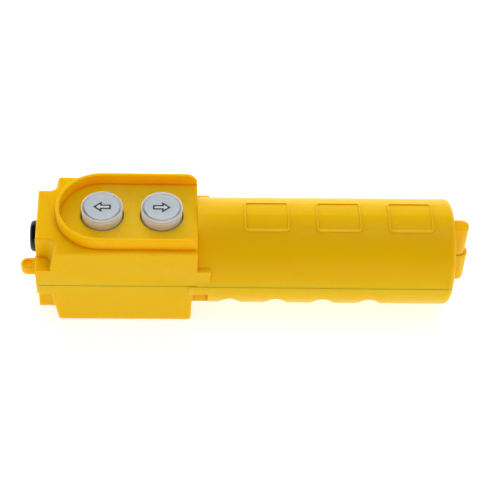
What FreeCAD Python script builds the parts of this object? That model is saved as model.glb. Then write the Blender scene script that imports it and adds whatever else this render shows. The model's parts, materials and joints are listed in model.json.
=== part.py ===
"""Two-button pendant control station, lying on its back.

The station is a hand-held switch box for a hoist. A squarish head holds two push-buttons inside a raised
guard rim, and a round grip runs from the head to a strap lug. Two moulded shells meet on a parting plane,
with a rubber gasket between them and five screws from the back. The cable comes in through a rubber sleeve
in the head's end wall, under a saddle clamp. Each button pushes the actuator of its own contact block.

Millimetres. +X runs along the grip, away from the cable end. +Z is the way the buttons face. The origin is
the middle of the footprint on the plane that the station lies on.
"""
import FreeCAD
import Part
import math
import os

from FreeCAD import Vector

os.makedirs("parts", exist_ok=True)

# ---- driving dimensions -------------------------------------------------------------------------
BUTTON_PITCH = 30.0        # distance between the two button centres
GRIP_RADIUS = 26.9         # round section of the grip at the head
GRIP_END_RADIUS = 27.3     # and at its end face, after draft
AXIS_Z = 25.9              # height of the grip's axis above the flat back
PARTING_Z = AXIS_Z + 1.6   # plane where the front and rear shells meet
FACE_Z = AXIS_Z + 25.7     # button face of the head
HEAD_LENGTH = 80.8
GRIP_LENGTH = 130.75
TAB_REACH = 10.0           # rope tab, beyond the head's end wall
LUG_REACH = 9.9            # strap lug, beyond the grip's end face
LUG_STEP = 1.6             # its front half reaches this much less
LUG_GAP = 0.7              # between its two halves
WALL = 3.0
PART_LINE_HALF = 0.16      # half the width of the groove that shows where the shells meet
PART_LINE_DEPTH = 0.22

JOIN_X = (HEAD_LENGTH + TAB_REACH - GRIP_LENGTH - LUG_REACH) / 2    # head meets grip
HEAD_X = JOIN_X - HEAD_LENGTH                                       # head's end wall
END_X = JOIN_X + GRIP_LENGTH                                        # grip's end face

HEAD_HALF = 26.5           # head's half width on the parting plane
FACE_HALF = 26.3           # at the button face, after draft
BACK_HALF = 26.2           # and at the back
FACE_ROUND = 1.2           # round on the edges of the button face
CORNER_ROUND = 1.4         # round on the head's upright corners
BACK_ROUND = 1.4           # round on the edges of the back
END_LEAN = 0.1             # rear shell's end wall leans in this far at the back
JOIN_SETBACK = 2.0         # rear shell's head stops this far before the grip
JOIN_LEAN = 0.7            # and leans in this much more at the back

DOWN_X = JOIN_X - 18.0
UP_X = DOWN_X - BUTTON_PITCH
BUTTONS = {"up": UP_X, "down": DOWN_X}

# flange that carries the head's corner screws, left standing between the corner pockets
FLANGE_TOP = AXIS_Z + 12.6
FLANGE_BOTTOM = AXIS_Z - 5.0
POCKET_LENGTH = 9.9        # at its open side
POCKET_FOOT = 6.9          # and at the flange, because its wall slopes
REAR_POCKET_LENGTH = 10.4
REAR_POCKET_FOOT = 7.1
FRONT_POCKET_Y = 16.9
REAR_POCKET_Y = 17.5
POCKET_ROUND = 4.0
EAR_LENGTH = 6.7           # screw ears beside the grip
EAR_POCKET_LENGTH = 5.7
EAR_POCKET_Y = 18.5

# guard rim round the buttons
RIM_OUT = 23.2
RIM_IN = 21.4
RIM_HEIGHT = 6.5
RIM_SETBACK = 0.3          # from its open ends to the grip
RIM_END_RADIUS = 5.5

# finger grooves in the back of the grip
GROOVES = 4
GROOVE_PITCH = 24.0
GROOVE_FIRST = 16.8        # from the head
GROOVE_TUBE = 11.0
GROOVE_DEPTH = 4.2
GROOVE_RISE = 7.6          # ring centre above the grip's axis, so the groove runs out on the sides

# raised plain frames on the front of the grip
FRAME_COUNT = 3
FRAME_FIRST = 35.0
FRAME_PITCH = 36.5
FRAME_LENGTH = 23.0
FRAME_HALF_WIDTH = 10.0
FRAME_LINE = 1.1
FRAME_HEIGHT = 0.45
FRAME_CORNER = 2.0

# buttons
TRAVEL = 4.0
HOLE_RADIUS = 10.85
SKIRT_RADIUS = 10.3
CAP_RADIUS = 10.4
BUTTON_TOP = AXIS_Z + 32.45
CAP_BASE = AXIS_Z + 28.9
FLANGE_RADIUS = 12.2
CUP_RADIUS = 8.9
STEM_RADIUS = 3.2
STEM_TIP_RADIUS = 2.6
STEM_END = 36.0
WELL_RADIUS = 13.0         # round well under each button
WELL_OUTER = 14.5
FACE_INSIDE = FACE_Z - WALL
WELL_END = 39.3
GUIDE_THICK = 2.0

# switch gear
CARRIER_Z = 33.0
CARRIER_THICK = 2.5
CARRIER_EDGE = 3.2         # from its screws to its edges
CARRIER_SCREW = 11.0       # length of its screws
BLOCK_HALF_X = 13.5
BLOCK_HALF_Y = 10.0
BLOCK_BASE = 9.0
CHAMBER_HALF_X = 8.5
CHAMBER_BASE = 12.0
CHAMBER_TOP = 29.0
CONTACT_Z = 19.5           # top of the fixed contacts
CONTACT_X = 6.2            # contact points, from the middle of the block
TERMINAL_X = 10.9
TERMINAL_SEAT = BLOCK_BASE + 2.2    # under the terminal screws' heads
TERMINAL_SHANK = 1.4
BRIDGE_TOP = 24.5
BRIDGE_THICK = 0.6
BRIDGE_TIP = CONTACT_Z + TRAVEL + 0.1    # lowest point of the moving contacts while the button is up
POST_Y = 19.0
POSTS_X = (JOIN_X - 59.5, JOIN_X - 9.0)

# cable entry
SLEEVE_Z = AXIS_Z + 9.3
SLEEVE_RADIUS = 8.0
SLEEVE_NECK = 6.4
SLEEVE_BORE = 5.0
SLEEVE_OUT = 3.8
CLAMP_X = HEAD_X + 12.2
CLAMP_WIDTH = 5.4
CLAMP_SCREW_Y = 9.6
CLAMP_EAR = 2.2            # from the cable's axis down to the seats of the clamp's screws
SADDLE_TOP = SLEEVE_Z + 6.8

# fasteners
SHELL_SCREWS = [
    (HEAD_X + 4.5, 21.6, FLANGE_BOTTOM + 2.4),
    (HEAD_X + 4.5, -21.6, FLANGE_BOTTOM + 2.4),
    (JOIN_X + 2.2, 21.9, FLANGE_BOTTOM + 2.4),
    (JOIN_X + 2.2, -21.9, FLANGE_BOTTOM + 2.4),
    (JOIN_X + 115.0, 0.0, 15.0),
]
SCREW_HEAD_RADIUS = 3.0
SCREW_HEAD_THICK = 2.0
SCREW_SHANK = 1.5
SCREW_CLEAR = 1.8
SCREW_SUNK_RADIUS = 3.4
INSERT_RADIUS = 2.3
INSERT_LENGTH = 8.0
END_BOSS_RADIUS = 5.0      # post round the screw near the grip's end
POST_RADIUS = 3.0          # posts that the carrier's screws turn in
THREAD_HOLE = 1.3          # radius of the holes that small screws cut their thread in
SMALL_CLEAR = 1.6          # radius of their clearance holes
SMALL_SHANK = 1.25
SMALL_HEAD_THICK = 1.6

X_AXIS = Vector(1, 0, 0)
Y_AXIS = Vector(0, 1, 0)
Z_AXIS = Vector(0, 0, 1)


# ---- helpers --------------------------------------------------------------------------------------
def box(x0, x1, y0, y1, z0, z1):
    return Part.makeBox(x1 - x0, y1 - y0, z1 - z0, Vector(x0, y0, z0))


def rod(radius, x, y, z0, z1):
    """Upright cylinder."""
    return Part.makeCylinder(radius, z1 - z0, Vector(x, y, z0), Z_AXIS)


def bar(radius, x0, x1, y, z):
    """Cylinder along X."""
    return Part.makeCylinder(radius, x1 - x0, Vector(x0, y, z), X_AXIS)


def prism(points, push):
    """Polygon pushed along a vector."""
    wire = Part.makePolygon([*points, points[0]])
    return Part.Face(wire).extrude(push)


def revolved(profile, x, y=0.0):
    """Closed (radius, z) outline turned about an upright axis."""
    points = [Vector(r, 0, z) for r, z in profile]
    face = Part.Face(Part.makePolygon([*points, points[0]]))
    solid = face.revolve(Vector(0, 0, 0), Z_AXIS, 360)
    solid.translate(Vector(x, y, 0))
    return solid


def fuse(shapes):
    return shapes[0].multiFuse(shapes[1:]).removeSplitter()


def cut(shape, tools):
    return shape.cut(fuse(tools) if len(tools) > 1 else tools[0])


def rounded(shape, radius, wanted):
    """Fillets the edges for which wanted(edge's centre, edge) is true."""
    edges = [e for e in shape.Edges if wanted(e.BoundBox.Center, e)]
    return shape.makeFillet(radius, edges) if edges else shape


def both_sides(make):
    """The piece that make(side) gives at +Y and at -Y."""
    return [make(1), make(-1)]


def spring(radius, wire, x, z0, z1, turns):
    """Compression spring standing on z0, with its wire between z0 and z1. Each turn is a face of its own."""
    height = z1 - z0 - wire
    helix = Part.makeLongHelix(height / turns, height, radius)
    section = Part.Wire(Part.makeCircle(wire / 2, Vector(radius, 0, 0), Y_AXIS))
    coil = Part.Wire(helix).makePipeShell([section], True, True)
    coil.translate(Vector(x, 0, z0 + wire / 2))
    return coil


def save(name, shape):
    solids = shape.Solids
    if not shape.isValid() or not solids:
        raise RuntimeError(f"{name} isn't a valid solid")
    shape = solids[0] if len(solids) == 1 else Part.makeCompound(solids)
    shape.exportStep(f"parts/{name}.step")
    print(f"{name}: {len(solids)} solid(s), {shape.Volume / 1000:.2f} cm3")


# ---- outer forms shared by both shells --------------------------------------------------------------
def grip_form():
    """Round grip with a rolled end edge and a flat back, level with the head's back."""
    start = Vector(JOIN_X, 0, AXIS_Z)
    grip = Part.makeCone(GRIP_RADIUS, GRIP_END_RADIUS, GRIP_LENGTH, start, X_AXIS)
    grip = rounded(grip, 3.2, lambda c, e: abs(c.x - END_X) < 0.01)
    grip = fuse([grip, bar(GRIP_RADIUS, JOIN_X - 4, JOIN_X, 0, AXIS_Z)])
    return grip.common(box(JOIN_X - 7, END_X + 1, -40, 40, 0, 80))


def corner_pocket(side, y_wall, z_flange, foot, z_open, length):
    """Corner of the head that is open to the end and the side, with a sloping wall, down to the flange."""
    outline = [
        Vector(HEAD_X - 5, 0, z_flange),
        Vector(HEAD_X + foot, 0, z_flange),
        Vector(HEAD_X + length, 0, z_open),
        Vector(HEAD_X - 5, 0, z_open),
    ]
    pocket = prism(outline, Vector(0, 20, 0))
    inner = [e for e in pocket.Edges if abs(e.BoundBox.Center.y) < 0.01 and e.BoundBox.XMin > HEAD_X]
    pocket = pocket.makeFillet(POCKET_ROUND, inner)
    if side < 0:
        pocket = pocket.mirror(Vector(0, 0, 0), Y_AXIS)
    pocket.translate(Vector(0, side * y_wall, 0))
    return pocket


def is_upright(edge):
    """True for a straight edge that runs more up than along."""
    size = edge.BoundBox
    return size.ZLength > 4 * max(size.XLength, size.YLength) and len(edge.Vertexes) == 2


def outer_corners(edge):
    """True for the upright edges where the head's long sides end."""
    return is_upright(edge) and abs(edge.BoundBox.Center.y) > HEAD_HALF - 0.4


def lug_form(tip_x, z0, z1):
    """Post with a round outer side, on the grip's end face."""
    radius = 3.7
    post = rod(radius, tip_x - radius, 0, z0, z1)
    web = box(END_X - 1.5, tip_x - radius, -radius, radius, z0, z1)
    return fuse([post, web])


def part_line():
    """Fine groove round the outside, half in each shell, where they meet."""
    deep = PART_LINE_DEPTH
    z0, z1 = PARTING_Z - PART_LINE_HALF, PARTING_Z + PART_LINE_HALF
    slab = box(HEAD_X - 20, END_X + 20, -40, 40, z0, z1)
    core = [
        box(HEAD_X + deep, JOIN_X + EAR_LENGTH - deep, -HEAD_HALF + deep, HEAD_HALF - deep, z0, z1),
        bar(GRIP_RADIUS - deep, JOIN_X, END_X - deep, 0, AXIS_Z),
    ]
    return cut(slab, core)


# ---- hollows --------------------------------------------------------------------------------------
TONGUE_Y = 13.4            # inside half width between the corner pockets
THROAT_Y = 15.0            # inside half width between the screw ears
THROAT_FLOOR = 6.5         # its floor, higher than the head's so its corners stay inside the round grip
HOLLOW_Y = 22.6
THROAT_X0 = JOIN_X - 5.0
THROAT_X1 = JOIN_X + 9.0
TONGUE_X = HEAD_X + 13.4
INSIDE_X = HEAD_X + 5.0    # inside of the head's end wall


def grip_hollow(z0, z1):
    hollow = bar(GRIP_RADIUS - WALL, THROAT_X1, END_X - WALL, 0, AXIS_Z)
    return hollow.common(box(THROAT_X1, END_X, -40, 40, z0, z1))


def front_hollow():
    head = box(TONGUE_X, THROAT_X0, -HOLLOW_Y, HOLLOW_Y, PARTING_Z, FACE_INSIDE)
    tongue = box(INSIDE_X, TONGUE_X, -TONGUE_Y, TONGUE_Y, PARTING_Z, FACE_INSIDE)
    throat = box(THROAT_X0, THROAT_X1, -THROAT_Y, THROAT_Y, PARTING_Z, AXIS_Z + 17.0)
    return fuse([head, tongue, throat, grip_hollow(PARTING_Z, 80)])


def rear_hollow():
    head = box(TONGUE_X, THROAT_X0, -HOLLOW_Y, HOLLOW_Y, WALL, PARTING_Z)
    tongue = box(INSIDE_X, TONGUE_X, -TONGUE_Y, TONGUE_Y, WALL, PARTING_Z)
    throat = box(THROAT_X0, THROAT_X1, -THROAT_Y, THROAT_Y, THROAT_FLOOR, PARTING_Z)
    grip = grip_hollow(WALL, PARTING_Z)
    return fuse([head, tongue, throat, cut(grip, grooves(GROOVE_TUBE + 2.6))])


def grooves(tube):
    """Rings laid across the grip's back, which scoop the finger grooves."""
    ring = GRIP_RADIUS + GROOVE_RISE - GROOVE_DEPTH + GROOVE_TUBE
    centre = AXIS_Z + GROOVE_RISE
    places = [JOIN_X + GROOVE_FIRST + i * GROOVE_PITCH for i in range(GROOVES)]
    return [Part.makeTorus(ring, tube, Vector(x, 0, centre), X_AXIS) for x in places]


# ---- front shell ------------------------------------------------------------------------------------
def guard_rim():
    """Upright U round the buttons, open towards the grip, with its two ends rounded off."""
    def stadium(radius, z1):
        half = rod(radius, UP_X, 0, FACE_Z - 1, z1)
        return fuse([half, box(UP_X, JOIN_X + 5, -radius, radius, FACE_Z - 1, z1)])

    top = FACE_Z + RIM_HEIGHT
    rim = stadium(RIM_OUT, top).cut(stadium(RIM_IN, top + 1))
    end_x = JOIN_X - RIM_SETBACK
    keep = box(HEAD_X, end_x, -40, 40, FACE_Z - 1, top)
    keep = rounded(keep, RIM_END_RADIUS, lambda c, e: abs(c.x - end_x) < 0.01 and abs(c.z - top) < 0.01)
    rim = rim.common(keep)
    return rounded(rim, 0.5, lambda c, e: e.BoundBox.ZMax > FACE_Z + 1)


def grip_frames():
    """Plain raised frames, one after another on the front of the grip."""
    made = []
    for i in range(FRAME_COUNT):
        middle = JOIN_X + FRAME_FIRST + i * FRAME_PITCH
        ring = []
        for shrink, corner in ((0.0, FRAME_CORNER), (FRAME_LINE, FRAME_CORNER - FRAME_LINE)):
            half_x = FRAME_LENGTH / 2 - shrink
            half_y = FRAME_HALF_WIDTH - shrink
            plate = box(middle - half_x, middle + half_x, -half_y, half_y, AXIS_Z, 90)
            plate = rounded(plate, corner, lambda c, e: e.BoundBox.ZLength > 10)
            ring.append(plate)
        radius = GRIP_RADIUS + (GRIP_END_RADIUS - GRIP_RADIUS) * (middle - JOIN_X) / GRIP_LENGTH
        skin = bar(radius + FRAME_HEIGHT, middle - 20, middle + 20, 0, AXIS_Z)
        core = bar(GRIP_RADIUS - 1.0, middle - 21, middle + 21, 0, AXIS_Z)
        made.append(ring[0].cut(ring[1]).common(skin).cut(core))
    return made


def screw_ears(z0, z1):
    """Screw bosses that stand out of the head's end on both sides of the grip."""
    ears = box(JOIN_X - 4, JOIN_X + EAR_LENGTH, -HEAD_HALF, HEAD_HALF, z0, z1)
    ears = rounded(ears, 0.5, lambda c, e: c.x > JOIN_X + EAR_LENGTH - 0.1 and is_upright(e))
    open_z = z1 if z0 == PARTING_Z else z0
    ears = rounded(ears, 0.4, lambda c, e: abs(c.z - open_z) < 0.01 and e.BoundBox.XMax > JOIN_X)
    return ears.cut(box(JOIN_X - 5, JOIN_X + 9, -THROAT_Y, THROAT_Y, 0, 80))


def head_block(x0, x1, z_end, half_end):
    """Head from the parting plane to z_end, with draft on its long sides."""
    outline = [
        Vector(x0, -HEAD_HALF, PARTING_Z),
        Vector(x0, HEAD_HALF, PARTING_Z),
        Vector(x0, half_end, z_end),
        Vector(x0, -half_end, z_end),
    ]
    return prism(outline, Vector(x1 - x0, 0, 0))


def front_head():
    """Head of the front shell, with its corner pockets and rounded edges."""
    head = head_block(HEAD_X, JOIN_X, FACE_Z, FACE_HALF)
    head = cut(head, both_sides(lambda side: corner_pocket(
        side, FRONT_POCKET_Y, FLANGE_TOP, POCKET_FOOT, FACE_Z, POCKET_LENGTH)))
    head = rounded(head, CORNER_ROUND, lambda c, e: outer_corners(e) and HEAD_X + 1 < c.x < JOIN_X - 1)
    return rounded(head, FACE_ROUND, lambda c, e: e.BoundBox.ZMin > FACE_Z - 0.1 and c.x < JOIN_X - 0.1)


def front_housing():
    head = front_head()
    ears = screw_ears(PARTING_Z, FLANGE_TOP)
    grip = grip_form().common(box(JOIN_X, END_X + 1, -40, 40, PARTING_Z, 80))
    lug = lug_form(END_X + LUG_REACH - LUG_STEP, PARTING_Z, PARTING_Z + 19.0)
    lug = rounded(lug, 0.8, lambda c, e: c.z > PARTING_Z + 18.9 and c.x > END_X)
    outer = fuse([head, ears, grip, lug, guard_rim(), *grip_frames()])
    body = cut(outer, [front_hollow(), part_line()])

    extra = []
    for x in BUTTONS.values():
        extra.append(rod(WELL_OUTER, x, 0, WELL_END, FACE_INSIDE + 0.5))
    for x in POSTS_X:
        for y in (POST_Y, -POST_Y):
            extra.append(rod(POST_RADIUS, x, y, CARRIER_Z + CARRIER_THICK, FACE_INSIDE + 0.5))
    for y in (CLAMP_SCREW_Y, -CLAMP_SCREW_Y):
        extra.append(rod(2.6, CLAMP_X + CLAMP_WIDTH / 2, y, SADDLE_TOP, FACE_INSIDE + 0.5))
    end_x, _, _ = SHELL_SCREWS[4]
    end_boss = rod(END_BOSS_RADIUS, end_x, 0, PARTING_Z, AXIS_Z + GRIP_RADIUS - WALL + 0.5)
    body = fuse([body, *extra, end_boss])

    holes = []
    for x in BUTTONS.values():
        holes.append(rod(WELL_RADIUS, x, 0, WELL_END - 1, FACE_INSIDE))
        holes.append(rod(HOLE_RADIUS, x, 0, FACE_INSIDE - 1, FACE_Z + 1))
    for x in POSTS_X:
        for y in (POST_Y, -POST_Y):
            holes.append(rod(THREAD_HOLE, x, y, CARRIER_Z, CARRIER_Z + CARRIER_SCREW))
    for x, y, _ in SHELL_SCREWS:
        holes.append(rod(INSERT_RADIUS, x, y, PARTING_Z - 1, PARTING_Z + INSERT_LENGTH + 0.5))
    for y in (CLAMP_SCREW_Y, -CLAMP_SCREW_Y):
        holes.append(rod(THREAD_HOLE, CLAMP_X + CLAMP_WIDTH / 2, y, SADDLE_TOP - 1, SADDLE_TOP + 4.6))
    holes.append(bar(SLEEVE_NECK, HEAD_X - 1, INSIDE_X + 1, 0, SLEEVE_Z))
    holes.append(gasket_ring(GASKET_WIDTH, PARTING_Z - 1, PARTING_Z + GASKET_IN_FRONT))
    return cut(body, holes)


# ---- rear shell -------------------------------------------------------------------------------------
def rope_tab():
    """Round post that stands out of the rear shell's end wall, for the loop of the support rope."""
    z0, z1 = AXIS_Z - 17.2, AXIS_Z - 11.7
    radius = 3.6
    tip = HEAD_X - TAB_REACH
    post = rod(radius, tip + radius, 0, z0, z1)
    web = box(tip + radius, HEAD_X + WALL, -radius, radius, z0, z1)
    tab = rounded(fuse([post, web]), 0.6, lambda c, e: e.BoundBox.ZLength < 0.01 and c.x < HEAD_X + 2)
    dimple = rod(1.9, tip + radius, 0, z1 - 0.3, z1 + 1)
    root = box(HEAD_X - 3.0, HEAD_X + WALL, -radius - 0.9, radius + 0.9, z0 - 0.6, z1 + 0.6)
    root = rounded(root, 0.8, lambda c, e: c.x < HEAD_X - 2.9)
    return fuse([tab.cut(dimple), root])


def rear_head():
    """Head of the rear shell. Its end walls lean in towards the back."""
    wedge = [
        Vector(HEAD_X, -HEAD_HALF, PARTING_Z),
        Vector(JOIN_X - JOIN_SETBACK, -HEAD_HALF, PARTING_Z),
        Vector(JOIN_X - JOIN_SETBACK - JOIN_LEAN, -HEAD_HALF, 0),
        Vector(HEAD_X + END_LEAN, -HEAD_HALF, 0),
    ]
    block = prism(wedge, Vector(0, 2 * HEAD_HALF, 0)).common(head_block(HEAD_X, JOIN_X, 0, BACK_HALF))
    block = cut(block, both_sides(lambda side: corner_pocket(
        side, REAR_POCKET_Y, FLANGE_BOTTOM, REAR_POCKET_FOOT, 0, REAR_POCKET_LENGTH)))
    block = rounded(block, CORNER_ROUND, lambda c, e: outer_corners(e))
    return rounded(block, BACK_ROUND, lambda c, e: e.BoundBox.ZMax < 0.1)


def ear_pocket(side):
    """Recess that gives a screwdriver access to the screw beside the grip."""
    x0, x1 = JOIN_X - JOIN_SETBACK, JOIN_X + EAR_POCKET_LENGTH
    pocket = box(x0, x1, EAR_POCKET_Y, 40, -5, FLANGE_BOTTOM + 0.3)
    pocket = rounded(pocket, 1.8, lambda c, e: abs(c.y - EAR_POCKET_Y) < 0.01 and e.BoundBox.ZMin > -4)
    return pocket if side > 0 else pocket.mirror(Vector(0, 0, 0), Y_AXIS)


def rear_housing():
    ears = screw_ears(FLANGE_BOTTOM, PARTING_Z)
    grip = grip_form().common(box(JOIN_X - 4, END_X + 1, -40, 40, 0, PARTING_Z))
    grip = cut(grip, grooves(GROOVE_TUBE))
    lug = lug_form(END_X + LUG_REACH, PARTING_Z - 19.8, PARTING_Z - LUG_GAP)
    lug = rounded(lug, 0.8, lambda c, e: c.z < PARTING_Z - 19.7 and c.x > END_X)
    outer = fuse([rear_head(), ears, grip, lug, rope_tab()])
    outer = cut(outer, both_sides(ear_pocket))
    body = cut(outer, [rear_hollow(), part_line()])

    end_x, _, _ = SHELL_SCREWS[4]
    body = fuse([body, rod(END_BOSS_RADIUS, end_x, 0, WALL - 0.5, PARTING_Z)])
    holes = []
    for x, y, seat in SHELL_SCREWS:
        holes.append(rod(SCREW_CLEAR, x, y, -1, PARTING_Z + 1))
        holes.append(rod(SCREW_SUNK_RADIUS, x, y, -1, seat))
    holes.append(gasket_ring(GASKET_WIDTH, PARTING_Z - GASKET_IN_REAR, PARTING_Z + 1))
    return cut(body, holes)


# ---- gasket -----------------------------------------------------------------------------------------
GASKET_WIDTH = 1.4
GASKET_GAP = 0.6           # land between the hollow's edge and the gasket
GASKET_IN_REAR = 1.2
GASKET_IN_FRONT = 0.5


def hollow_outline(offset):
    """Outline of the hollow on the parting plane, pushed outwards by offset."""
    o = offset
    half_grip = math.sqrt((GRIP_RADIUS - WALL) ** 2 - (PARTING_Z - AXIS_Z) ** 2)
    right = [
        (INSIDE_X - o, TONGUE_Y + o),
        (TONGUE_X - o, TONGUE_Y + o),
        (TONGUE_X - o, HOLLOW_Y + o),
        (THROAT_X0 + o, HOLLOW_Y + o),
        (THROAT_X0 + o, THROAT_Y + o),
        (THROAT_X1 - o, THROAT_Y + o),
        (THROAT_X1 - o, half_grip + o),
        (END_X - WALL + o, half_grip + o),
    ]
    left = [(x, -y) for x, y in reversed(right)]
    return [Vector(x, y, 0) for x, y in right + left]


def gasket_ring(width, z0, z1):
    outer = prism(hollow_outline(GASKET_GAP + width), Vector(0, 0, z1 - z0))
    inner = prism(hollow_outline(GASKET_GAP), Vector(0, 0, z1 - z0))
    ring = outer.cut(inner)
    ring.translate(Vector(0, 0, z0))
    return ring


def housing_gasket():
    return gasket_ring(GASKET_WIDTH, PARTING_Z - GASKET_IN_REAR, PARTING_Z + GASKET_IN_FRONT)


# ---- fasteners --------------------------------------------------------------------------------------
def pan_screw(x, y, seat, length, head_radius, head_thick, shank):
    """Screw driven upwards, its head under seat, with a cross recess."""
    head = rod(head_radius, x, y, seat - head_thick, seat)
    head = rounded(head, 0.5, lambda c, e: c.z < seat - head_thick + 0.01 and e.BoundBox.ZLength < 0.01)
    slot = head_radius * 0.62
    base = seat - head_thick
    cross = [
        box(x - slot, x + slot, y - 0.35, y + 0.35, base - 1, base + 1.1),
        box(x - 0.35, x + 0.35, y - slot, y + slot, base - 1, base + 1.1),
    ]
    return cut(fuse([head, rod(shank, x, y, seat - 0.2, seat + length)]), cross)


def housing_screws():
    made = []
    for x, y, seat in SHELL_SCREWS:
        length = PARTING_Z + INSERT_LENGTH - seat - 0.5
        made.append(pan_screw(x, y, seat, length, SCREW_HEAD_RADIUS, SCREW_HEAD_THICK, SCREW_SHANK))
    return Part.makeCompound(made)


def housing_inserts():
    made = []
    for x, y, _ in SHELL_SCREWS:
        tube = rod(INSERT_RADIUS, x, y, PARTING_Z + 0.2, PARTING_Z + INSERT_LENGTH)
        made.append(tube.cut(rod(SCREW_SHANK + 0.05, x, y, PARTING_Z, PARTING_Z + INSERT_LENGTH + 1)))
    return Part.makeCompound(made)


# ---- cable entry ------------------------------------------------------------------------------------
def cable_sleeve():
    """Rubber sleeve with a round bead outside, a neck in the wall and a tapered tail inside."""
    bead = bar(SLEEVE_RADIUS, HEAD_X - SLEEVE_OUT, HEAD_X, 0, SLEEVE_Z)
    bead = rounded(bead, 2.2, lambda c, e: abs(c.x - HEAD_X + SLEEVE_OUT) < 0.01)
    neck = bar(SLEEVE_NECK, HEAD_X - 0.1, INSIDE_X + 0.1, 0, SLEEVE_Z)
    flange = bar(7.4, INSIDE_X, INSIDE_X + 1.8, 0, SLEEVE_Z)
    tail = Part.makeCone(6.6, 5.8, 4.8, Vector(INSIDE_X + 1.7, 0, SLEEVE_Z), X_AXIS)
    bore = bar(SLEEVE_BORE, HEAD_X - 6, INSIDE_X + 9, 0, SLEEVE_Z)
    return fuse([bead, neck, flange, tail]).cut(bore)


def cable_clamp():
    """Saddle strap that holds the cable up against the front shell."""
    x0, x1 = CLAMP_X, CLAMP_X + CLAMP_WIDTH
    ears = box(x0, x1, -TONGUE_Y + 0.7, TONGUE_Y - 0.7, SLEEVE_Z - CLAMP_EAR, SLEEVE_Z - 0.3)
    arch = bar(7.0, x0, x1, 0, SLEEVE_Z).common(box(x0, x1, -8, 8, 0, SLEEVE_Z - 0.3))
    strap = fuse([ears, arch]).cut(bar(SLEEVE_BORE + 0.2, x0 - 1, x1 + 1, 0, SLEEVE_Z))
    holes = [rod(SMALL_CLEAR, (x0 + x1) / 2, y, 0, 80) for y in (CLAMP_SCREW_Y, -CLAMP_SCREW_Y)]
    return cut(strap, holes)


def clamp_saddle():
    """Upper half of the cable clamp, under two posts of the front shell."""
    x0, x1 = CLAMP_X, CLAMP_X + CLAMP_WIDTH
    block = box(x0, x1, -TONGUE_Y + 0.9, TONGUE_Y - 0.9, SLEEVE_Z, SADDLE_TOP)
    block = rounded(block, 1.0, lambda c, e: c.z > SADDLE_TOP - 0.1 and abs(c.y) > 10)
    holes = [rod(SMALL_CLEAR, (x0 + x1) / 2, y, 0, 80) for y in (CLAMP_SCREW_Y, -CLAMP_SCREW_Y)]
    return cut(block, [*holes, bar(SLEEVE_BORE + 0.2, x0 - 1, x1 + 1, 0, SLEEVE_Z)])


def cable_clamp_screws():
    x = CLAMP_X + CLAMP_WIDTH / 2
    seat = SLEEVE_Z - CLAMP_EAR
    length = SADDLE_TOP + 4.0 - seat
    return Part.makeCompound([
        pan_screw(x, y, seat, length, 2.4, SMALL_HEAD_THICK, SMALL_SHANK)
        for y in (CLAMP_SCREW_Y, -CLAMP_SCREW_Y)
    ])


# ---- buttons ----------------------------------------------------------------------------------------
SKIRT_BASE = 45.8
SKIRT_FLANGE_THICK = 1.7
WEB_BASE = FACE_Z
LEGEND_THICK = 0.4
LEGEND_RADIUS = 8.5
CAP_ROOF = 1.0
SEAL_THICK = 0.8


def button_plunger(x):
    """Grey moulding with the skirt that shows under the cap, a retaining flange and a stem."""
    legend_seat = BUTTON_TOP - CAP_ROOF - 0.1 - LEGEND_THICK
    outline = [
        (0, STEM_END),
        (STEM_TIP_RADIUS, STEM_END),
        (STEM_TIP_RADIUS, WELL_END - 0.5),
        (STEM_RADIUS, WELL_END - 0.5),
        (STEM_RADIUS, WEB_BASE),
        (CUP_RADIUS, WEB_BASE),
        (CUP_RADIUS, SKIRT_BASE),
        (FLANGE_RADIUS, SKIRT_BASE),
        (FLANGE_RADIUS, SKIRT_BASE + SKIRT_FLANGE_THICK),
        (SKIRT_RADIUS, SKIRT_BASE + SKIRT_FLANGE_THICK),
        (SKIRT_RADIUS, CAP_BASE - 0.35),
        (SKIRT_RADIUS - 0.35, CAP_BASE),
        (LEGEND_RADIUS, CAP_BASE),
        (LEGEND_RADIUS, legend_seat),
        (0, legend_seat),
    ]
    return revolved(outline, x)


def button_legend(x):
    top = BUTTON_TOP - CAP_ROOF - 0.1
    return rod(LEGEND_RADIUS, x, 0, top - LEGEND_THICK, top)


def button_cap(x):
    """Clear cap over the legend: a base ring, a groove and a rounded head with a shallow dish in its top."""
    inner = LEGEND_RADIUS + 0.05
    roof = BUTTON_TOP - CAP_ROOF
    neck = CAP_RADIUS - 0.65
    outline = [
        (inner, CAP_BASE),
        (CAP_RADIUS - 0.2, CAP_BASE),
        (CAP_RADIUS - 0.1, CAP_BASE + 0.2),
        (CAP_RADIUS - 0.1, CAP_BASE + 1.0),
        (CAP_RADIUS - 0.3, CAP_BASE + 1.25),
        (neck, CAP_BASE + 1.5),
        (neck, BUTTON_TOP - 1.5),
        (CAP_RADIUS - 0.2, BUTTON_TOP - 1.15),
        (CAP_RADIUS, BUTTON_TOP - 0.85),
        (CAP_RADIUS - 0.12, BUTTON_TOP - 0.45),
        (CAP_RADIUS - 0.45, BUTTON_TOP - 0.12),
        (CAP_RADIUS - 0.9, BUTTON_TOP),
        (CAP_RADIUS - 1.6, BUTTON_TOP),
        (CAP_RADIUS - 1.9, BUTTON_TOP - 0.2),
        (0, BUTTON_TOP - 0.2),
        (0, roof),
        (inner, roof),
    ]
    return revolved(outline, x)


def button_seal(x):
    """Rubber washer on the plunger's flange, which seals against the shell while the button is up."""
    z0 = SKIRT_BASE + SKIRT_FLANGE_THICK
    ring = rod(FLANGE_RADIUS, x, 0, z0, z0 + SEAL_THICK)
    return ring.cut(rod(SKIRT_RADIUS, x, 0, z0 - 1, z0 + 2))


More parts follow.
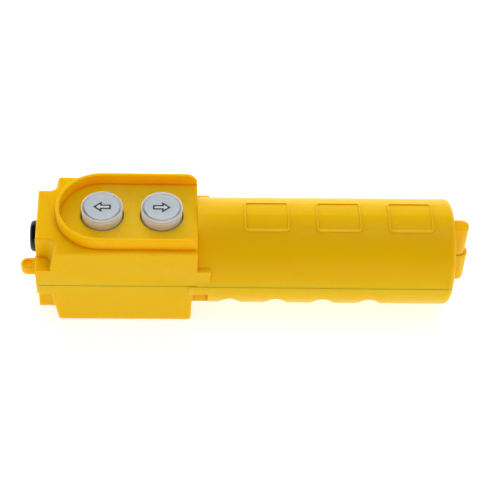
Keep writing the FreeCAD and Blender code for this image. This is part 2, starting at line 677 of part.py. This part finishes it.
def button_guide(x):
    """Disc that closes the well and guides the stem."""
    disc = rod(WELL_RADIUS - 0.05, x, 0, WELL_END, WELL_END + GUIDE_THICK)
    collar = rod(5.0, x, 0, WELL_END, WELL_END + GUIDE_THICK + 3.0)
    return fuse([disc, collar]).cut(rod(STEM_RADIUS + 0.08, x, 0, 0, 80))


def button_spring(x):
    return spring(6.2, 0.9, x, WELL_END + GUIDE_THICK + 0.03, WEB_BASE - 0.03, 5)


# ---- switch gear --------------------------------------------------------------------------------------
def switch_carrier():
    """Plate under the button wells that carries both contact blocks."""
    x0, x1 = POSTS_X[0] - CARRIER_EDGE, POSTS_X[1] + CARRIER_EDGE
    plate = box(x0, x1, -POST_Y - CARRIER_EDGE, POST_Y + CARRIER_EDGE, CARRIER_Z, CARRIER_Z + CARRIER_THICK)
    plate = rounded(plate, 3.0, lambda c, e: e.BoundBox.ZLength > 2)
    holes = [rod(STEM_RADIUS + 0.4, x, 0, 0, 80) for x in BUTTONS.values()]
    holes += [rod(SMALL_CLEAR, x, y, 0, 80) for x in POSTS_X for y in (POST_Y, -POST_Y)]
    return cut(plate, holes)


def carrier_screws():
    return Part.makeCompound([
        pan_screw(x, y, CARRIER_Z, CARRIER_SCREW, 2.5, SMALL_HEAD_THICK, SMALL_SHANK)
        for x in POSTS_X for y in (POST_Y, -POST_Y)
    ])


def contact_block(x):
    """Moulded block, open at both sides, with a terminal tower at each end of its chamber."""
    body = box(x - BLOCK_HALF_X, x + BLOCK_HALF_X, -BLOCK_HALF_Y, BLOCK_HALF_Y, BLOCK_BASE, CARRIER_Z)
    body = rounded(body, 1.0, lambda c, e: e.BoundBox.ZLength > 10)
    holes = [
        box(x - CHAMBER_HALF_X, x + CHAMBER_HALF_X, -20, 20, CHAMBER_BASE, CHAMBER_TOP),
        rod(2.9, x, 0, CHAMBER_TOP - 1, CARRIER_Z + 1),
    ]
    for side in (1, -1):
        terminal = x + side * TERMINAL_X
        x0, x1 = sorted((x, terminal + side * 1.9))
        holes.append(box(x0, x1, -2.6, 2.6, CONTACT_Z - 1.1, CONTACT_Z + 0.1))
        holes.append(rod(TERMINAL_SHANK + 0.05, terminal, 0, BLOCK_BASE, 26.0))
        holes.append(rod(2.5, terminal, 0, BLOCK_BASE - 1, TERMINAL_SEAT))
    return cut(body, holes)


def fixed_contacts(x):
    """Two brass strips, each from a contact face in the chamber to its terminal screw."""
    made = []
    for side in (1, -1):
        terminal = x + side * TERMINAL_X
        x0, x1 = sorted((x + side * (CONTACT_X - 1.6), terminal + side * 1.8))
        strip = box(x0, x1, -2.5, 2.5, CONTACT_Z - 1.0, CONTACT_Z - 0.3)
        point = rod(1.5, x + side * CONTACT_X, 0, CONTACT_Z - 0.5, CONTACT_Z)
        made.append(fuse([strip, point]).cut(rod(TERMINAL_SHANK + 0.05, terminal, 0, 0, 80)))
    return Part.makeCompound(made)


def terminal_screws(x):
    return Part.makeCompound([
        pan_screw(x + side * TERMINAL_X, 0, TERMINAL_SEAT, 13.5, 2.3, SMALL_HEAD_THICK, TERMINAL_SHANK)
        for side in (1, -1)
    ])


def contact_actuator(x):
    """Round plunger of the contact block, with a foot on the bridge and a collar under the chamber's roof."""
    outline = [
        (0, BRIDGE_TOP),
        (2.2, BRIDGE_TOP),
        (2.2, BRIDGE_TOP + 1.5),
        (4.0, BRIDGE_TOP + 1.5),
        (4.0, CHAMBER_TOP - 0.1),
        (2.8, CHAMBER_TOP - 0.1),
        (2.8, STEM_END - 0.4),
        (2.5, STEM_END - 0.1),
        (0, STEM_END - 0.1),
    ]
    return revolved(outline, x)


def contact_bridge(x):
    """Moving contact under the actuator's foot, which spans the two fixed contacts when pushed."""
    half = CONTACT_X + 1.7
    strip = box(x - half, x + half, -2.2, 2.2, BRIDGE_TOP - BRIDGE_THICK, BRIDGE_TOP)
    strip = rounded(strip, 0.8, lambda c, e: e.BoundBox.ZLength > 0.3)
    tips = [rod(1.3, x + side * CONTACT_X, 0, BRIDGE_TIP, BRIDGE_TOP - 0.5) for side in (1, -1)]
    return fuse([strip, *tips])


def actuator_spring(x):
    return spring(2.7, 0.6, x, CHAMBER_BASE + 0.03, BRIDGE_TOP - BRIDGE_THICK - 0.03, 5)


# ---- build ------------------------------------------------------------------------------------------
save("front_housing", front_housing())
save("rear_housing", rear_housing())
save("housing_gasket", housing_gasket())
save("housing_screws", housing_screws())
save("housing_inserts", housing_inserts())
save("cable_sleeve", cable_sleeve())
save("cable_clamp", cable_clamp())
save("clamp_saddle", clamp_saddle())
save("cable_clamp_screws", cable_clamp_screws())
save("switch_carrier", switch_carrier())
save("carrier_screws", carrier_screws())

PER_BUTTON = {
    "button_plunger": button_plunger,
    "button_legend": button_legend,
    "button_cap": button_cap,
    "button_seal": button_seal,
    "button_guide": button_guide,
    "button_spring": button_spring,
    "contact_block": contact_block,
    "fixed_contacts": fixed_contacts,
    "terminal_screws": terminal_screws,
    "contact_actuator": contact_actuator,
    "contact_bridge": contact_bridge,
    "actuator_spring": actuator_spring,
}
for label, centre_x in BUTTONS.items():
    for name, make in PER_BUTTON.items():
        save(f"{name}_{label}", make(centre_x))
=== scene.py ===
"""Looks of the two-button pendant control station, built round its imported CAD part. Metres."""
import json
import math

import bmesh
import bpy
from mathutils import Matrix, Vector


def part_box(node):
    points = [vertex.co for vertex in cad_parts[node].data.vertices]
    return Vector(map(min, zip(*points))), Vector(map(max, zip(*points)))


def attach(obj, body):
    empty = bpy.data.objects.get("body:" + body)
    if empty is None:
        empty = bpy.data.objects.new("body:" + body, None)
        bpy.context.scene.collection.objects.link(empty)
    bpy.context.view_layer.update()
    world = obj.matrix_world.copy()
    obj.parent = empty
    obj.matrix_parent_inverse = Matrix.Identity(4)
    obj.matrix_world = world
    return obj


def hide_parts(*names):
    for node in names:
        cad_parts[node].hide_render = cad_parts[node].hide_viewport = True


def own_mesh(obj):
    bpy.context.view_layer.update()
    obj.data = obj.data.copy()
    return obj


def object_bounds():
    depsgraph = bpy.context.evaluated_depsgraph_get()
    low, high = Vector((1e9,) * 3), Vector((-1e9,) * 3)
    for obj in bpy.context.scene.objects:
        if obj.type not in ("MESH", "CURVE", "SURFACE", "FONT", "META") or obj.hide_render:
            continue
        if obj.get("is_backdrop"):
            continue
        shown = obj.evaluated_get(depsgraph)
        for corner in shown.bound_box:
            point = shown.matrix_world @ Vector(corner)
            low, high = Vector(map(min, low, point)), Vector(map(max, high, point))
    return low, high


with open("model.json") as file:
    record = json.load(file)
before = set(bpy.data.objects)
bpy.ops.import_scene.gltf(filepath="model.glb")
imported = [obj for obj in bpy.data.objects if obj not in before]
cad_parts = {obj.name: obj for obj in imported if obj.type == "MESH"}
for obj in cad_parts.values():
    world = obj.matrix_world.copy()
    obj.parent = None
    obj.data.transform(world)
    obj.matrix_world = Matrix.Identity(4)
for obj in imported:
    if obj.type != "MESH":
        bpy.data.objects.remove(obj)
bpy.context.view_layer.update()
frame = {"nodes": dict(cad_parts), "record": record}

MM = 0.001
NODES = frame["nodes"]
SLOT_OF = {part["node"]: part["material_slot"] for part in frame["record"]["subparts"]}
BUTTONS = ("up", "down")


# ---- shader helpers -----------------------------------------------------------------------------
class Shader:
    """A new material and short ways to add and join its nodes."""

    def __init__(self, name):
        self.material = bpy.data.materials.new(name)
        self.material.use_nodes = True
        self.tree = self.material.node_tree
        self.bsdf = self.tree.nodes["Principled BSDF"]
        self.output = self.tree.nodes["Material Output"]
        self.coords = self.tree.nodes.new("ShaderNodeTexCoord").outputs["Object"]

    def node(self, kind, inputs=None, **settings):
        made = self.tree.nodes.new(kind)
        for key, value in settings.items():
            setattr(made, key, value)
        for key, value in (inputs or {}).items():
            self.put(made.inputs[key], value)
        return made

    def put(self, socket, value):
        """Joins an output to the socket, or sets the socket to a number or colour."""
        if isinstance(value, bpy.types.NodeSocket):
            self.tree.links.new(value, socket)
        else:
            socket.default_value = value

    def stretched(self, scale):
        """Object coordinates, scaled by a different amount along each axis."""
        return self.node("ShaderNodeMapping", {"Vector": self.coords, "Scale": scale}).outputs["Vector"]

    def noise(self, size, detail=3.0, rough=0.55, vector=None):
        """Noise from 0 to 1 whose features are about size metres across."""
        made = self.node("ShaderNodeTexNoise", {
            "Vector": vector or self.coords, "Scale": 1.0 / size, "Detail": detail, "Roughness": rough,
        })
        return made.outputs["Fac"]

    def ramp(self, value, low, high, to_low=0.0, to_high=1.0):
        """value, with low..high stretched to to_low..to_high and held there outside."""
        made = self.node("ShaderNodeMapRange", {
            "Value": value, "From Min": low, "From Max": high, "To Min": to_low, "To Max": to_high,
        })
        return made.outputs["Result"]

    def mix(self, factor, first, second, blend="MIX"):
        made = self.node("ShaderNodeMix", data_type="RGBA", blend_type=blend)
        self.put(made.inputs["Factor"], factor)
        self.put(made.inputs["A"], first)
        self.put(made.inputs["B"], second)
        return made.outputs["Result"]

    def maths(self, operation, first, second):
        made = self.node("ShaderNodeMath", operation=operation)
        self.put(made.inputs[0], first)
        self.put(made.inputs[1], second)
        return made.outputs["Value"]

    def edges(self, low, high):
        """1 on worn outer edges and 0 elsewhere."""
        return self.ramp(self.node("ShaderNodeNewGeometry").outputs["Pointiness"], low, high)

    def bump(self, height, depth, strength=1.0, normal=None):
        made = self.node("ShaderNodeBump", {"Height": height, "Distance": depth, "Strength": strength})
        if normal is not None:
            self.put(made.inputs["Normal"], normal)
        return made.outputs["Normal"]

    def finish(self, color=None, roughness=None, normal=None, **constants):
        if color is not None:
            self.put(self.bsdf.inputs["Base Color"], color)
        if roughness is not None:
            self.put(self.bsdf.inputs["Roughness"], roughness)
        if normal is not None:
            self.put(self.bsdf.inputs["Normal"], normal)
        for key, value in constants.items():
            self.bsdf.inputs[key.replace("_", " ")].default_value = value
        return self.material


def rgb(red, green, blue):
    return (red, green, blue, 1.0)


# ---- materials ------------------------------------------------------------------------------------
def moulded_yellow():
    """Tough yellow plastic that lets a little light through, with a fine spark-eroded grain, faint flow
    variation and slightly rubbed edges. Narrow corners get painted orange shade and deep gaps painted brown
    shade, from an ambient-occlusion mask."""
    s = Shader("moulded_yellow")
    flow = s.ramp(s.noise(35 * MM, 2.0, vector=s.stretched((0.4, 1.0, 1.0))), 0.3, 0.7)
    body = s.mix(flow, rgb(0.90, 0.53, 0.0003), rgb(0.93, 0.555, 0.0008))
    dull = s.ramp(s.noise(7 * MM, 4.0, 0.65), 0.52, 0.74, 0.0, 0.22)
    body = s.mix(dull, body, rgb(0.85, 0.49, 0.0012))
    rubbed = s.maths("MULTIPLY", s.edges(0.515, 0.60), s.ramp(s.noise(3 * MM, 4.0), 0.35, 0.7, 0.1, 0.5))
    body = s.mix(rubbed, body, rgb(0.93, 0.66, 0.09))
    # Painted shade: the ambient-occlusion mask tints narrow corners orange and darkens deep gaps to brown.
    painted_shade_openness = s.node("ShaderNodeAmbientOcclusion", {"Distance": 2 * MM}, samples=6).outputs["AO"]
    body = s.mix(s.ramp(painted_shade_openness, 0.30, 0.85, 0.90, 0.0), body, rgb(0.90, 0.25, 0.0004))
    body = s.mix(s.ramp(painted_shade_openness, 0.05, 0.25, 0.95, 0.0), body, rgb(0.12, 0.03, 0.001))
    rough = s.ramp(s.noise(16 * MM, 5.0, 0.6), 0.3, 0.7, 0.28, 0.38)
    soft_edges = s.node("ShaderNodeBevel", {"Radius": 0.45 * MM}, samples=6).outputs["Normal"]
    grain = s.bump(s.noise(0.32 * MM, 2.0, 0.5), 0.020 * MM, 0.55, soft_edges)
    sink = s.bump(s.noise(22 * MM, 1.0, 0.4), 0.10 * MM, 0.35, grain)
    return s.finish(body, rough, sink, IOR=1.5, Specular_IOR_Level=0.10, Subsurface_Weight=0.9,
                    Subsurface_Radius=(1.0, 0.50, 0.03), Subsurface_Scale=3.5 * MM,
                    Sheen_Weight=0.05, Sheen_Roughness=0.35)


def rubber(name, shade, rough, grain_size=0.5 * MM):
    """Dark rubber with dusty patches and a fine grain."""
    s = Shader(name)
    dusty = s.ramp(s.noise(4 * MM, 5.0, 0.7), 0.45, 0.75)
    color = s.mix(dusty, rgb(shade, shade, shade * 1.05), rgb(shade * 2.4, shade * 2.3, shade * 2.2))
    roughness = s.ramp(s.noise(3 * MM, 4.0), 0.3, 0.7, rough - 0.08, rough + 0.10)
    return s.finish(color, roughness, s.bump(s.noise(grain_size, 2.0), 0.03 * MM, 0.5),
                    IOR=1.5, Specular_IOR_Level=0.35)


def plastic(name, color, rough, grain=0.4 * MM):
    """Moulded plastic with a faint cloudiness and a fine grain."""
    s = Shader(name)
    pale = tuple(min(1.0, c * 1.18 + 0.01) for c in color)
    cloud = s.ramp(s.noise(9 * MM, 4.0, 0.6), 0.3, 0.72)
    roughness = s.ramp(s.noise(5 * MM, 4.0), 0.3, 0.7, rough - 0.06, rough + 0.08)
    body = s.mix(cloud, rgb(*color), rgb(*pale))
    return s.finish(body, roughness, s.bump(s.noise(grain, 2.0), 0.015 * MM, 0.45), IOR=1.5)


def metal(name, color, dark, rough, stretch=(1.0, 1.0, 9.0)):
    """Plated or drawn metal with fine lines one way and a patchy tarnish."""
    s = Shader(name)
    lines = s.noise(0.5 * MM, 3.0, 0.6, s.stretched(stretch))
    patches = s.ramp(s.noise(2.5 * MM, 5.0, 0.65), 0.42, 0.72)
    body = s.mix(patches, rgb(*color), rgb(*dark))
    roughness = s.maths("ADD", s.ramp(lines, 0.3, 0.7, rough - 0.06, rough + 0.06),
                        s.ramp(patches, 0.0, 1.0, 0.0, 0.12))
    return s.finish(body, roughness, s.bump(lines, 0.01 * MM, 0.6), Metallic=1.0)


def legend_face():
    """Printed disc, cool grey with a faint mottle."""
    s = Shader("legend_face")
    mottle = s.ramp(s.noise(2.2 * MM, 4.0, 0.6), 0.3, 0.7)
    color = s.mix(mottle, rgb(0.64, 0.665, 0.67), rgb(0.70, 0.725, 0.73))
    rough = s.ramp(s.noise(1.2 * MM, 3.0), 0.3, 0.7, 0.42, 0.55)
    return s.finish(color, rough, s.bump(s.noise(0.25 * MM, 2.0), 0.008 * MM, 0.5))


def clear_cap():
    """Clear polished plastic, frosted on its sides and edges. Lamps shine through it on to the legend."""
    s = Shader("clear_cap")
    marks = s.noise(1.6 * MM, 5.0, 0.6)
    rough = s.ramp(marks, 0.4, 0.75, 0.05, 0.16)
    tint = s.mix(s.ramp(marks, 0.3, 0.8), rgb(0.97, 0.98, 1.0), rgb(0.93, 0.95, 0.98))
    upward = s.node("ShaderNodeSeparateXYZ", {"Vector": s.node("ShaderNodeNewGeometry").outputs["Normal"]})
    see_through = s.ramp(upward.outputs["Z"], 0.75, 0.98, 0.28, 0.97)
    s.put(s.bsdf.inputs["Transmission Weight"], see_through)
    s.finish(tint, rough, s.bump(s.noise(3 * MM, 2.0), 0.02 * MM, 0.3), IOR=1.49)
    clear = s.node("ShaderNodeBsdfTransparent", {"Color": rgb(0.95, 0.96, 0.98)})
    shadow = s.node("ShaderNodeLightPath").outputs["Is Shadow Ray"]
    both = s.node("ShaderNodeMixShader", {"Fac": shadow})
    s.tree.links.new(s.bsdf.outputs["BSDF"], both.inputs[1])
    s.tree.links.new(clear.outputs["BSDF"], both.inputs[2])
    s.tree.links.new(both.outputs["Shader"], s.output.inputs["Surface"])
    return s.material


def ink(name, color):
    """Printed ink, slightly worn in places."""
    s = Shader(name)
    worn = s.ramp(s.noise(0.5 * MM, 4.0), 0.45, 0.8, 0.0, 0.35)
    pale = tuple(c * 1.05 + 0.005 for c in color)
    rough = s.ramp(s.noise(0.4 * MM, 2.0), 0.3, 0.7, 0.45, 0.6)
    return s.finish(s.mix(worn, rgb(*color), rgb(*pale)), rough, s.bump(s.noise(0.2 * MM), 0.004 * MM, 0.4),
                    Specular_IOR_Level=0.1)


MATERIALS = {
    "housing_yellow": moulded_yellow(),
    "gasket_rubber": rubber("gasket_rubber", 0.020, 0.62),
    "sleeve_rubber": rubber("sleeve_rubber", 0.0025, 0.30),
    "seal_rubber": rubber("seal_rubber", 0.018, 0.55),
    "zinc_steel": metal("zinc_steel", (0.64, 0.64, 0.60), (0.46, 0.45, 0.40), 0.34),
    "brass": metal("brass", (0.76, 0.56, 0.22), (0.52, 0.36, 0.14), 0.32),
    "contact_brass": metal("contact_brass", (0.80, 0.61, 0.30), (0.60, 0.42, 0.20), 0.28, (9.0, 1.0, 1.0)),
    "spring_steel": metal("spring_steel", (0.66, 0.66, 0.67), (0.48, 0.48, 0.48), 0.26),
    "clamp_plastic": plastic("clamp_plastic", (0.030, 0.030, 0.033), 0.50),
    "carrier_plastic": plastic("carrier_plastic", (0.085, 0.085, 0.090), 0.50),
    "block_plastic": plastic("block_plastic", (0.040, 0.040, 0.045), 0.44),
    "actuator_plastic": plastic("actuator_plastic", (0.62, 0.60, 0.55), 0.42),
    "plunger_grey": plastic("plunger_grey", (0.60, 0.62, 0.64), 0.30),
    "legend_face": legend_face(),
    "cap_clear": clear_cap(),
}
ARROW_BLACK = ink("arrow_black", (0.004, 0.005, 0.008))
ARROW_WHITE = ink("arrow_white", (0.80, 0.82, 0.84))


def wear(piece, material):
    """Gives the piece this one material."""
    piece.data.materials.clear()
    piece.data.materials.append(material)


for node_name, node in NODES.items():
    wear(node, MATERIALS[SLOT_OF[node_name]])


# ---- pieces made here -------------------------------------------------------------------------------
def mesh_piece(name, bm, material, smooth_degrees=35):
    mesh = bpy.data.meshes.new(name)
    bmesh.ops.recalc_face_normals(bm, faces=bm.faces)
    bm.to_mesh(mesh)
    bm.free()
    piece = bpy.data.objects.new(name, mesh)
    bpy.context.scene.collection.objects.link(piece)
    mesh.materials.append(material)
    mesh.shade_smooth()
    mesh.set_sharp_from_angle(angle=math.radians(smooth_degrees))
    return piece


# Arrow printed on each legend disc
ARROW_LENGTH = 9.0 * MM
ARROW_HEAD = 4.4 * MM      # length of its head
ARROW_HALF_HEIGHT = 3.6 * MM
ARROW_HALF_SHAFT = 1.5 * MM
ARROW_LINE = 0.90 * MM     # width of its outline
INK = 0.025 * MM           # thickness of each printed plate


def arrow_outline():
    """Points of a right-pointing arrow about the origin."""
    tail, tip = -ARROW_LENGTH / 2, ARROW_LENGTH / 2
    neck = tip - ARROW_HEAD
    upper = [(tail, ARROW_HALF_SHAFT), (neck, ARROW_HALF_SHAFT), (neck, ARROW_HALF_HEIGHT)]
    return [*upper, (tip, 0.0), *[(x, -y) for x, y in reversed(upper)]]


def inset(points, distance):
    """The outline moved inwards by distance. Its points run clockwise."""
    made = []
    for i, here in enumerate(points):
        before, after = Vector(points[i - 1]), Vector(points[(i + 1) % len(points)])
        here = Vector(here)
        first, second = (here - before).normalized(), (after - here).normalized()
        in_first, in_second = Vector((first.y, -first.x)), Vector((second.y, -second.x))
        corner = (in_first + in_second).normalized()
        made.append(here + corner * (distance / max(corner.dot(in_first), 0.2)))
    return made


def plate(name, points, flip, centre, z0, z1, material):
    """Thin flat plate with the outline's shape, centred over a button."""
    bm = bmesh.new()
    rings = [
        [bm.verts.new((centre.x + flip * p[0], centre.y + p[1], z)) for p in points] for z in (z0, z1)
    ]
    bm.faces.new(rings[0])
    bm.faces.new(rings[1])
    for i in range(len(points)):
        j = (i + 1) % len(points)
        bm.faces.new((rings[0][i], rings[0][j], rings[1][j], rings[1][i]))
    return mesh_piece(name, bm, material)


for button, flip in (("up", -1), ("down", 1)):
    disc_low, disc_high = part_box(f"button_legend_{button}")
    centre = (disc_low + disc_high) / 2
    top = disc_high.z
    outline = arrow_outline()
    black = plate(f"arrow_line_{button}", outline, flip, centre, top, top + INK, ARROW_BLACK)
    fill = plate(f"arrow_fill_{button}", inset(outline, ARROW_LINE), flip, centre, top + INK, top + 2 * INK,
                 ARROW_WHITE)
    for piece in (black, fill):
        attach(piece, f"{button}_button")


# Springs drawn as wire coils in place of the CAD spring parts
STEPS_PER_TURN = 28
WIRE_SIDES = 10
END_TURNS = 0.9            # closed turns at each end, where the wire rises by only its own thickness


def wire_height(turn, turns, wire, low, high):
    """Height of the wire's middle after so many turns from the spring's lower end."""
    total = turns + 2 * END_TURNS
    if turn < END_TURNS:
        return low + wire * turn
    if turn > total - END_TURNS:
        return high - wire * (total - turn)
    share = (turn - END_TURNS) / turns
    return low + wire * END_TURNS + (high - low - 2 * wire * END_TURNS) * share


def coil(name, centre, radius, wire, z0, z1, turns):
    """Helical spring with closed, flat end turns."""
    bm = bmesh.new()
    rings = []
    total = turns + 2 * END_TURNS
    count = int(total * STEPS_PER_TURN)
    for i in range(count + 1):
        turn = total * i / count
        z = wire_height(turn, turns, wire, z0 + wire / 2, z1 - wire / 2)
        angle = 2 * math.pi * turn
        out = Vector((math.cos(angle), math.sin(angle), 0))
        middle = Vector((centre.x, centre.y, z)) + out * radius
        ring = []
        for k in range(WIRE_SIDES):
            a = 2 * math.pi * k / WIRE_SIDES
            rise = Vector((0, 0, math.sin(a) * wire / 2))
            ring.append(bm.verts.new(middle + out * (math.cos(a) * wire / 2) + rise))
        rings.append(ring)
    for first, second in zip(rings, rings[1:]):
        for k in range(WIRE_SIDES):
            n = (k + 1) % WIRE_SIDES
            bm.faces.new((first[k], first[n], second[n], second[k]))
    bm.faces.new(rings[0])
    bm.faces.new(rings[-1])
    return mesh_piece(name, bm, MATERIALS["spring_steel"], 60)


SPRINGS = (
    # CAD node, joint, wire, turns between the closed ends
    ("button_spring", "button_push", 0.9 * MM, 3.4),
    ("actuator_spring", "contact_push", 0.6 * MM, 4.2),
)
for button in BUTTONS:
    for stem, joint, wire, turns in SPRINGS:
        node_name = f"{stem}_{button}"
        low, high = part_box(node_name)
        centre = (low + high) / 2
        radius = (high.x - low.x) / 2 - wire / 2
        spring = coil(f"{stem}_coil_{button}", centre, radius, wire, low.z, high.z, turns)
        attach(spring, "housing")
        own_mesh(spring)
        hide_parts(node_name)


# ---- floor ------------------------------------------------------------------------------------------
def pale_floor():
    s = Shader("pale_floor")
    cloud = s.noise(0.15, 3.0)
    color = s.mix(s.ramp(cloud, 0.3, 0.7), rgb(0.55, 0.55, 0.55), rgb(0.58, 0.58, 0.58))
    return s.finish(color, s.ramp(cloud, 0.3, 0.7, 0.6, 0.7), Specular_IOR_Level=0.1,
                    Emission_Color=rgb(1.0, 1.0, 1.0), Emission_Strength=0.70)


FLOOR_HALF = 3.0           # half its width, and how far it reaches in front
SWEEP_START = 2.0          # from the station to where it starts to rise
SWEEP_RADIUS = 1.0
SWEEP_STEPS = 24
WALL_TOP = 3.0
FLOOR_DROP = 0.05 * MM     # below the station, so the two don't share a plane


def floor():
    """Pale sheet that lies flat under the station and sweeps up far behind it."""
    bm = bmesh.new()
    sweep = []
    for i in range(SWEEP_STEPS + 1):
        turn = (math.pi / 2) * i / SWEEP_STEPS
        sweep.append((SWEEP_START + SWEEP_RADIUS * math.sin(turn), SWEEP_RADIUS * (1.0 - math.cos(turn))))
    path = [(-FLOOR_HALF, 0.0), *sweep, (SWEEP_START + SWEEP_RADIUS, WALL_TOP)]
    left = [bm.verts.new((-FLOOR_HALF, y, z)) for y, z in path]
    right = [bm.verts.new((FLOOR_HALF, y, z)) for y, z in path]
    for i in range(len(path) - 1):
        bm.faces.new((left[i], right[i], right[i + 1], left[i + 1]))
    piece = mesh_piece("floor", bm, pale_floor(), 60)
    piece.location.z = -FLOOR_DROP
    piece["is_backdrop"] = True


floor()


# ---- lights -----------------------------------------------------------------------------------------
def softbox(name, place, aim, width, depth, watts, glossy=True):
    """Soft lamp at place, turned to aim. Without glossy it gives light but isn't seen in reflections."""
    lamp = bpy.data.lights.new(name, "AREA")
    lamp.shape = "RECTANGLE"
    lamp.size, lamp.size_y = width, depth
    lamp.energy = watts
    piece = bpy.data.objects.new(name, lamp)
    piece.location = place
    piece.rotation_euler = (Vector(aim) - Vector(place)).to_track_quat("-Z", "Y").to_euler()
    piece.visible_glossy = glossy
    bpy.context.scene.collection.objects.link(piece)


softbox("key_behind", (-0.30, 1.60, 0.60), (0, 0, 0.03), 1.6, 0.5, 16.0, glossy=False)
softbox("top", (0.45, 0.05, 1.5), (0, 0, 0.03), 0.9, 0.5, 3.8)
softbox("fill_front", (0.25, -1.35, 0.30), (0, 0, 0.03), 1.4, 0.4, 2.0)
softbox("fill_left", (-1.3, -0.1, 0.6), (-0.05, 0, 0.03), 0.8, 0.8, 1.0)

world = bpy.data.worlds.new("studio")
world.use_nodes = True
background = world.node_tree.nodes["Background"]
background.inputs["Color"].default_value = rgb(1.0, 1.0, 1.0)
background.inputs["Strength"].default_value = 0.49
world.cycles_visibility.glossy = False
bpy.context.scene.world = world
bpy.context.scene.view_settings.view_transform = "Standard"


# ---- camera -----------------------------------------------------------------------------------------
CAMERA_TARGET = Vector((0.26 * MM, 3.2 * MM, 25.9 * MM))
CAMERA_AZIMUTH = math.radians(-4.33)
CAMERA_ELEVATION = math.radians(48.66)
CAMERA_ROLL = math.radians(3.77)
CAMERA_DISTANCE = 0.8606
CAMERA_LENS = 121.98


def look():
    """Camera above and in front of the station, level but for a slight roll."""
    camera = bpy.data.objects.new("camera", bpy.data.cameras.new("camera"))
    camera.data.lens = CAMERA_LENS
    camera.data.sensor_width = 36.0
    camera.data.clip_end = 20.0
    level = math.cos(CAMERA_ELEVATION)
    back = Vector((math.sin(CAMERA_AZIMUTH) * level, -math.cos(CAMERA_AZIMUTH) * level,
                   math.sin(CAMERA_ELEVATION)))
    right = Vector((math.cos(CAMERA_AZIMUTH), math.sin(CAMERA_AZIMUTH), 0.0))
    axes = Matrix((right, back.cross(right), back)).transposed()
    turned = axes @ Matrix.Rotation(CAMERA_ROLL, 3, "Z")
    camera.matrix_world = Matrix.Translation(CAMERA_TARGET + back * CAMERA_DISTANCE) @ turned.to_4x4()
    bpy.context.scene.collection.objects.link(camera)
    bpy.context.scene.camera = camera


look()

low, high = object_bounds()
